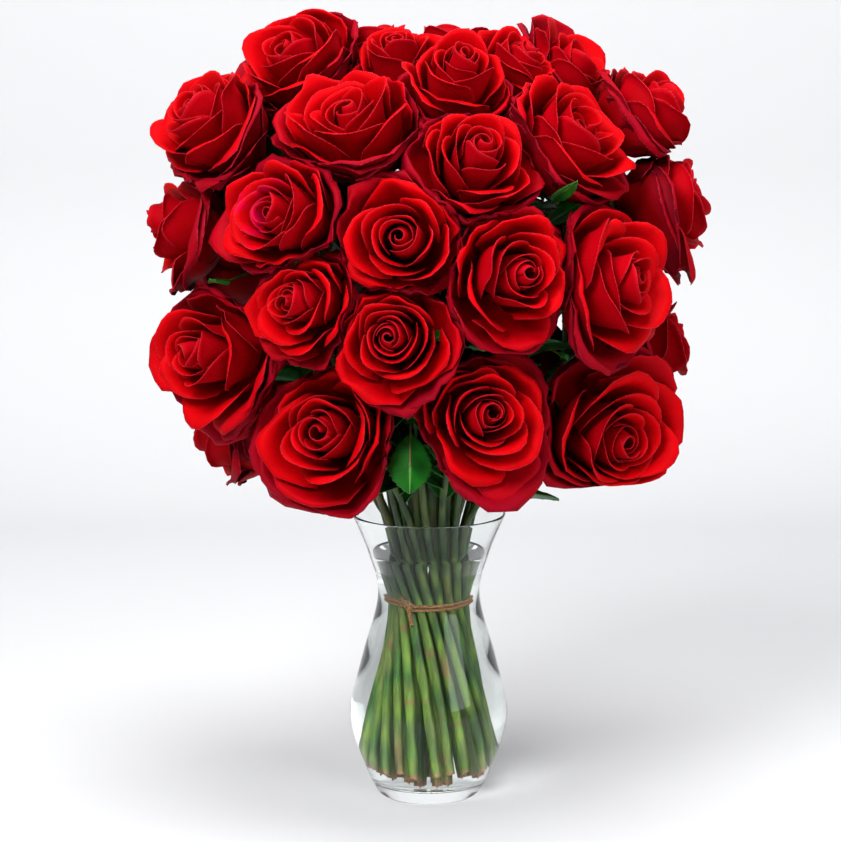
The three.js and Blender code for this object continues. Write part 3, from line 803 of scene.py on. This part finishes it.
# a blade one long and one to each side of its rib, toothed, with raised veins
def bladeOf(tree, teeth, across, along):
    u, y, _ = coordinates(tree)
    v = y + 0.5
    geometry = storeField(tree, gridOf(tree, 2.0, across, along), "leafU", u)
    wide = u.abs()
    outline = (v ** 0.85 * pi).sin().most(0.0) ** 0.8
    outline = outline * (1 - (v * teeth).fraction() * 0.16 * wide ** 3.0) + 0.03 * (1 - v)
    ridge = ((v - wide * 0.16) * teeth).fraction()
    ridge = (1 - (ridge * 2 - 1).abs() * 3).most(0.0) * (1 - wide) * 0.02
    rib = (1 - wide * 9).most(0.0) * 0.04
    return geometry, u * outline, v, ridge + rib - wide ** 2.0 * 0.05


def leafTree():
    tree, _, end, given = newTree("leafTree", {"Teeth": "Float", "Skin": "Material"})
    geometry, x, y, z = bladeOf(tree, given["Teeth"], leaf["across"], leaf["along"])
    geometry = smoothed(tree, movedTo(tree, geometry, x, y, z))
    tree.links.new(painted(tree, geometry, given["Skin"]), end)
    return tree


# leaves standing off a stem inside the bunch, turned at random about it
def foliageTree():
    tree, start, end, given = newTree("foliageTree", {
        "Leaves": "Int", "Length": "Float", "Width": "Float", "Seed": "Int", "Skin": "Material"})
    seed, number = given["Seed"], indexField(tree)
    geometry, x, y, z = bladeOf(tree, leaf["insideTeeth"], leaf["insideAcross"], leaf["insideAlong"])
    half = given["Width"] * 0.5
    bowed = z * half + y ** 2.0 * given["Length"] * 0.14 - x.abs() * half * 0.25
    blade = movedTo(tree, geometry, x * half, bowed, y * given["Length"])
    turns = [(0.0, 0.0, number * 2.4 + randomField(tree, 0.0, 6.28, seed, 0)),
             (randomField(tree, -1.25, -0.6, seed + 1, number), 0.0, 0.0)]
    size = randomField(tree, 0.7, 1.1, seed + 2, number)
    leaves = alongCurve(tree, start, given["Leaves"], blade, turns, size)
    tree.links.new(painted(tree, smoothed(tree, leaves), given["Skin"]), end)
    return tree


def leafMaterial():
    material, tree, shader = newMaterial("leafSkin", Roughness=0.32, Specular_IOR_Level=0.5)
    tone = rampColors(tree, grain(tree, 60, 60, 60, detail=4.0), [
        (0.3, (0.003, 0.045, 0.004)), (0.55, (0.006, 0.10, 0.008)), (0.8, (0.02, 0.17, 0.015))])
    fromRib = Field(tree, attribute(tree, "leafU")).abs()
    vein = rampColors(tree, fromRib, [(0.0, (1, 1, 1)), (0.07, (0, 0, 0))])
    tone = mixColors(tree, vein, tone, (0.12, 0.26, 0.06))
    finishWith(tree, shader, tone, grain(tree, 420, 420, 420), 0.25, 0.4 * mm)
    return material


# the point of a stem, above the tie, that lies nearest
def nearestOn(points, target):
    best = None
    for a, b in zip(points[10:], points[11:]):
        share = max(0.0, min(1.0, (target - a).dot(b - a) / (b - a).length_squared))
        point = a.lerp(b, share)
        if best is None or (point - target).length < (best - target).length:
            best = point
    return best


def leafPiece(name, row, room):
    around, up, reach, length, width, tilt, own = row
    length, half = length * mm, width * mm / 2
    foot = onDome(around, up, reach)
    way = heading(*own["aim"]) if own else (foot - Vector((0, 0, bunch["leafFan"]))).normalized()
    root = foot - way * (length * own.get("back", leaf["back"]))
    near = root if own else foot
    host = min(heads, key=lambda head: (nearestOn(head["path"], near) - near).length)
    start = nearestOn(host["path"], root)
    stalk = (foot - start).length
    ahead = (foot + way * (length / 2) - start).normalized()
    turn = facing(ahead, radians(tilt))
    side, across = turn.col[0], turn.col[1]
    crowd = [(plane, limit - leaf["thick"], 0) for plane, limit, _ in crowdOf(room, heads)]
    mesh = grow(name, leafs, {"Teeth": leaf["teeth"], "Skin": leafSkin})
    flat = pointsOf(mesh)
    points = np.empty_like(flat)
    # the blade arches along its rib, folds a little and is narrowed to the room between the blooms
    for k, (x, y, z) in enumerate(flat):
        arch = (y * length) ** 2 / (length * 3.2)
        rib = start + ahead * (stalk + y * length) + across * arch - room["centre"]
        rib = Vector(press(np.array([rib]), crowd, length)[0])
        free = [(limit - rib.dot(plane)) / max(half * abs(side.dot(plane)), leaf["thick"] / 2)
                for plane, limit, _ in crowd]
        free = half * max(0.2, min([1.0, *free]))
        points[k] = rib + room["centre"] + side * (x * free) + across * (z * half - abs(x) * free * 0.25)
    setPoints(mesh, points)
    addPiece(name, mesh, host["node"], leaf["skin"])
    ridge = [Vector(point) for point, (x, y, z) in zip(points, flat) if abs(x) < 1e-6 and y < 0.66][::6]
    line = [start.lerp(ridge[0], k / 5) for k in range(5)] + ridge
    mesh = growStem(name + "Stalk", line, Radius=leaf["stalk"], Sides=8, Thorns=0, Thorn=0.0, Seed=3)
    addPiece(name + "Stalk", mesh, host["node"])


leafs, foliage, leafSkin = leafTree(), foliageTree(), leafMaterial()
for number, (row, room) in enumerate(zip(leafList, leafRooms)):
    leafPiece("leaf%02d" % (number + 1), row, room)
for head in heads:
    label = "foliage" + head["label"]
    inside = curveThrough(label + "Line", head["path"][leaf["insideFrom"]:leaf["insideTo"]])
    mesh = grow(label, foliage, {
        "Leaves": leaf["inside"], "Length": leaf["insideLong"], "Width": leaf["insideWide"],
        "Seed": head["number"] * 5, "Skin": leafSkin}, inside)
    addPiece(label, mesh, head["node"], leaf["skin"])
print("leaves made")


twine = {"ring": 22.2 * mm, "ply": 0.68 * mm, "pitch": 4.4 * mm, "rise": 2.9 * mm, "knotAt": 238, "turns": 2,
         "steps": 64, "knot": 0.95 * mm, "fibresAMetre": 900, "fibre": 2.2 * mm, "fine": 0.6 * mm,
         "wander": 0.25 * mm, "sides": 7,
         # the tails: how far out of the ring, round from the knot and up (mm, radians, mm)
         "LongTail": [(2.6, 0.03, -4), (2.8, 0.08, -9), (2.4, 0.10, -13.6)],
         "ShortTail": [(2.6, -0.08, 2.4), (3, -0.2, 6.4)]}


# a two-ply cord along its path, with loose fibres standing off it
def twineTree():
    tree, start, end, given = newTree("twineTree", {
        "Ply": "Float", "Pitch": "Float", "Fibres": "Int", "Fibre": "Float", "Seed": "Int",
        "Skin": "Material"})
    seed, number, ply = given["Seed"], indexField(tree), given["Ply"]
    fine = step(tree, "GeometryNodeResampleCurve", {"Curve": start, "Length": twine["fine"]}, mode="LENGTH")
    far = Field(tree, addNode(tree, "GeometryNodeSplineParameter").outputs["Length"])
    normal, tangent = step(tree, "GeometryNodeInputNormal"), step(tree, "GeometryNodeInputTangent")
    other = step(tree, "ShaderNodeVectorMath", {0: tangent, 1: normal}, operation="CROSS_PRODUCT")
    plies = []
    for k in range(2):
        angle = far * (2 * pi) / given["Pitch"] + pi * k
        parts = [step(tree, "ShaderNodeVectorMath", {0: axis, "Scale": share * ply}, operation="SCALE")
                 for axis, share in ((normal, angle.cos()), (other, angle.sin()))]
        offset = step(tree, "ShaderNodeVectorMath", enumerate(parts), operation="ADD")
        wound = step(tree, "GeometryNodeSetPosition", {"Geometry": fine, "Offset": offset})
        plies.append(tubeOf(tree, wound, circleOf(tree, twine["sides"], ply * 1.08)))
    x, y, z = coordinates(tree)
    bent = movedTo(tree, coneOf(tree, 3, 2, 0.035, 0.008), x + z ** 2.0 * 0.35, y, z)
    turn = [randomField(tree, low, high, seed + k, number)
            for k, (low, high) in enumerate(((0.5, 2.6), (0.0, 6.28), (0.0, 6.28)))]
    size = randomField(tree, 0.4, 1.0, seed + 5, number) * given["Fibre"]
    hairs = alongCurve(tree, start, given["Fibres"], bent, [turn], size)
    whole = joined(tree, smoothed(tree, joined(tree, *plies)), hairs)
    tree.links.new(painted(tree, whole, given["Skin"]), end)
    return tree


def twineMaterial():
    material, tree, shader = newMaterial("juteFibre", Roughness=0.85, Specular_IOR_Level=0.2)
    strands = grain(tree, 900, 900, 1800, detail=4.0)
    tone = rampColors(tree, strands, [(0.3, (0.08, 0.035, 0.012)), (0.55, (0.24, 0.12, 0.045)),
                                      (0.75, (0.38, 0.22, 0.09))])
    finishWith(tree, shader, tone, strands, 0.6, 0.4 * mm)
    return material


# two turns round the bundle, a trefoil for the knot and its two tails
def twinePaths():
    at = radians(twine["knotAt"])

    def polar(out, angle, z):
        radius = twine["ring"] + out
        return Vector((radius * cos(angle), radius * sin(angle), tie["height"] + z))

    paths = {"Turns": [], "Knot": []}
    for k in range(twine["steps"] * twine["turns"] + 1):
        part = k / twine["steps"]
        height = (part - twine["turns"] / 2) * twine["rise"]
        paths["Turns"].append(polar(twine["wander"] * sin(part * 40), at + part * 2 * pi, height))
    centre = polar(1.6 * mm, at, 0)
    out = Vector((cos(at), sin(at), 0))
    aside, upward = Vector((-sin(at), cos(at), 0)), Vector((0, 0, 1))
    for k in range(61):
        a = k / 60 * 2 * pi
        loop = aside * (sin(a) + 2 * sin(2 * a)) + upward * (cos(a) - 2 * cos(2 * a))
        paths["Knot"].append(centre + (loop - out * sin(3 * a) * 1.2) * twine["knot"])
    for label in ("LongTail", "ShortTail"):
        paths[label] = [centre, *(polar(away * mm, at + turn, z * mm) for away, turn, z in twine[label])]
    return paths


cord, jute = twineTree(), twineMaterial()
for label, points in twinePaths().items():
    length = sum((b - a).length for a, b in zip(points, points[1:]))
    mesh = grow("twine" + label, cord, {
        "Ply": twine["ply"], "Pitch": twine["pitch"], "Fibres": int(length * twine["fibresAMetre"]),
        "Fibre": twine["fibre"], "Seed": 5, "Skin": jute}, curveThrough("twinePath" + label, points))
    addPiece("twine" + label, mesh, "twine_tie")
print("twine made")


vase = {"floor": 10 * mm, "wall": 2.8 * mm, "water": 174 * mm, "around": 96, "steps": 56,
        "overlap": 0.15 * mm, "foot": 35 * mm, "hollow": 0.8 * mm, "lip": 0.8 * mm, "thins": 45 * mm,
        "corner": 7 * mm, "dished": 0.3 * mm, "sunk": 0.4 * mm, "meniscus": 0.8 * mm,
        "meniscusWide": 2.0 * mm,
        "outline": [(36.5, 1.4), (45, 19), (56, 57), (47.5, 98), (36, 143), (42.5, 174), (54, 202.2)]}


# the vase's outer face, as [radius, height], on one smooth curve through the outline's points
def vaseSide():
    points = [Vector(point) * mm for point in vase["outline"]]
    side = []
    for k in range(vase["steps"] + 1):
        at = k / vase["steps"] * (len(points) - 1)
        i = min(int(at), len(points) - 2)
        s = at - i
        p = [points[max(i - 1, 0)], points[i], points[i + 1], points[min(i + 2, len(points) - 1)]]
        v0, v1 = (p[2] - p[0]) * 0.5, (p[3] - p[1]) * 0.5
        cubic = (p[1] - p[2]) * 2 + v0 + v1
        square = (p[2] - p[1]) * 3 - v0 * 2 - v1
        side.append(cubic * s ** 3 + square * s * s + v0 * s + p[1])
    return side


outerFace = vaseSide()
cornerTop = vase["floor"] + vase["corner"]  # where the inner floor's round corner meets the wall


def innerRadius(height):
    i = max(1, next((k for k, p in enumerate(outerFace) if p.y >= height), len(outerFace) - 1))
    a, b = outerFace[i - 1], outerFace[i]
    return a.x + (b.x - a.x) * (height - a.y) / (b.y - a.y) - vase["wall"]


# the inner floor's corner, from the wall to the floor
def floorCorner(radius, down=0.0):
    corner = []
    for k in range(1, 7):
        a = k / 6 * pi / 2
        height = vase["floor"] + vase["corner"] * (1 - sin(a)) - down
        corner.append((radius - vase["corner"] * (1 - cos(a)), height))
    return corner


# a closed body turned about Z from [radius, height] points that start and end on the axis
def turned(name, profile, material):
    body = bmesh.new()
    rings = []
    for radius, height in profile:
        turns = [2 * pi * k / vase["around"] for k in range(vase["around"] if radius > 1e-6 else 1)]
        rings.append([body.verts.new((radius * cos(a), radius * sin(a), height)) for a in turns])
    for low, high in zip(rings, rings[1:]):
        for k in range(vase["around"]):
            n = (k + 1) % vase["around"]
            corners = [low[k % len(low)], low[n % len(low)], high[n % len(high)], high[k % len(high)]]
            body.faces.new(dict.fromkeys(corners))
    bmesh.ops.recalc_face_normals(body, faces=body.faces)
    mesh = bpy.data.meshes.new(name)
    body.to_mesh(mesh)
    body.free()
    mesh.shade_smooth()
    mesh.materials.append(material)
    return mesh


def vaseProfile():
    rim, lip, foot, hollow = outerFace[-1], vase["lip"], vase["foot"], vase["hollow"]
    profile = [(0, hollow), (foot * 0.8, hollow), (foot * 0.88, 0), (foot, 0), *outerFace]
    for k in range(1, 8):
        a = k / 8 * pi
        profile.append((rim.x - lip + lip * cos(a), rim.y + lip * sin(a)))
    for z in [p.y for p in outerFace if p.y > cornerTop][::-1]:
        # the wall thins towards its lip
        thin = max(0.0, 1 - (rim.y - z) / vase["thins"]) * (vase["wall"] - 2 * lip)
        profile.append((innerRadius(z) + thin, z))
    corner = innerRadius(cornerTop)
    profile += floorCorner(corner)
    return profile + [(corner * 0.4, vase["floor"] - vase["dished"]), (0, vase["floor"] - vase["sunk"])]


def waterProfile():
    over, level, floor = vase["overlap"], vase["water"], vase["floor"]
    corner = innerRadius(cornerTop) + over
    profile = [(0, floor - vase["sunk"] - over), (corner * 0.4, floor - vase["dished"] - over)]
    profile += floorCorner(corner, over)[::-1]
    profile += [(innerRadius(p.y) + over, p.y) for p in outerFace if cornerTop < p.y < level]
    edge = innerRadius(level + vase["meniscus"]) + over
    profile.append((edge, level + vase["meniscus"]))
    for k in range(1, 7):
        s = k / 6
        profile.append((edge - over - vase["meniscusWide"] * s, level + vase["meniscus"] * (1 - s) ** 2.4))
    return profile + [(edge * 0.45, level), (0, level)]


def clearMaterial(name, colour, ior, stretch, bump, deep):
    material, tree, shader = newMaterial(name, Base_Color=(*colour, 1), Roughness=0.0, IOR=ior,
                                         Transmission_Weight=1.0, Specular_Tint=(0.22, 0.24, 0.24, 1))
    finishWith(tree, shader, None, grain(tree, *stretch, detail=1.0), bump, deep)
    return material


clearGlass = clearMaterial("clearGlass", (0.965, 0.985, 0.98), 1.5, (22, 22, 9), 0.12, 2 * mm)
freshWater = clearMaterial("freshWater", (0.985, 0.995, 0.985), 1.33, (45, 45, 45), 0.06, 1 * mm)
addPiece("vase", turned("vase", vaseProfile(), clearGlass), "vase").visible_shadow = False
addPiece("water", turned("water", waterProfile(), freshWater), "water").visible_shadow = False
print("vase and water made")


stage = {"front": -3.2, "back": 0.9, "bend": 0.35, "high": 1.9, "half": 3.4, "colour": (0.53, 0.53, 0.54),
         "fadeFrom": 1.6, "fadeTo": 3.1}
lightAim = (0, 0, 0.33)
lights = {
    "key": {"at": (-0.9, -1.5, 1.7), "size": 1.0, "power": 62},
    "fill": {"at": (1.5, -1.3, 0.9), "size": 1.2, "power": 20},
    "top": {"at": (0.1, -0.2, 2.0), "size": 1.0, "power": 36},
}
surroundings = {"colour": (0.9, 0.93, 0.96, 1), "strength": 0.48}
camera = {"at": (0, -1.92, 0.602), "down": 9.88, "lens": 119.3, "sensor": 36, "shift": -0.00975}


# a pale floor that sweeps up behind; it is seen from the object's side only, so that it hides nothing
# in a view from behind, and it fades out all round, so that no edge of it shows
def makeStage():
    profile = [(stage["front"], 0.0)]
    for k in range(13):
        a = k / 12 * pi / 2
        profile.append((stage["back"] + stage["bend"] * sin(a), stage["bend"] * (1 - cos(a))))
    profile.append((stage["back"] + stage["bend"], stage["high"]))
    verts = [(x, y, z) for y, z in profile for x in (-stage["half"], stage["half"])]
    faces = [(2 * k, 2 * k + 1, 2 * k + 3, 2 * k + 2) for k in range(len(profile) - 1)]
    mesh = bpy.data.meshes.new("paleSweep")
    mesh.from_pydata(verts, [], faces)
    mesh.shade_smooth()
    material, tree, shader = newMaterial("paleFloor", Base_Color=(*stage["colour"], 1), Roughness=0.7)
    where = addNode(tree, "ShaderNodeTexCoord").outputs["Object"]
    far = addNode(tree, "ShaderNodeVectorMath", {0: where}, operation="LENGTH").outputs["Value"]
    behind = Field(tree, addNode(tree, "ShaderNodeNewGeometry").outputs["Backfacing"])
    hidden = smoothRamp(tree, far, stage["fadeFrom"], stage["fadeTo"]).most(behind)
    sides = step(tree, "ShaderNodeMixShader", {0: hidden, 1: shader.outputs[0],
                                               2: step(tree, "ShaderNodeBsdfTransparent")})
    tree.links.new(sides, tree.nodes["Material Output"].inputs["Surface"])
    mesh.materials.append(material)
    addObject("paleSweep", mesh)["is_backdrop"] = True


makeStage()
for name, lamp in lights.items():
    light = bpy.data.lights.new(name, "AREA")
    light.energy, light.size = lamp["power"], lamp["size"]
    aim = Vector(lightAim) - Vector(lamp["at"])
    addObject(name, light, lamp["at"]).rotation_euler = aim.to_track_quat("-Z", "Y").to_euler()
scene.view_settings.view_transform = "Standard"
world = bpy.data.worlds.new("paleRoom")
world.use_nodes = True
background = world.node_tree.nodes["Background"].inputs
background["Color"].default_value = surroundings["colour"]
background["Strength"].default_value = surroundings["strength"]
scene.world = world

lens = bpy.data.cameras.new("camera")
lens.lens, lens.sensor_width, lens.shift_x = camera["lens"], camera["sensor"], camera["shift"]
eye = addObject("camera", lens, camera["at"])
eye.rotation_euler = (radians(90 - camera["down"]), 0, 0)
scene.camera = eye
print("floor, lights and camera made")

lowest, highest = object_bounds()
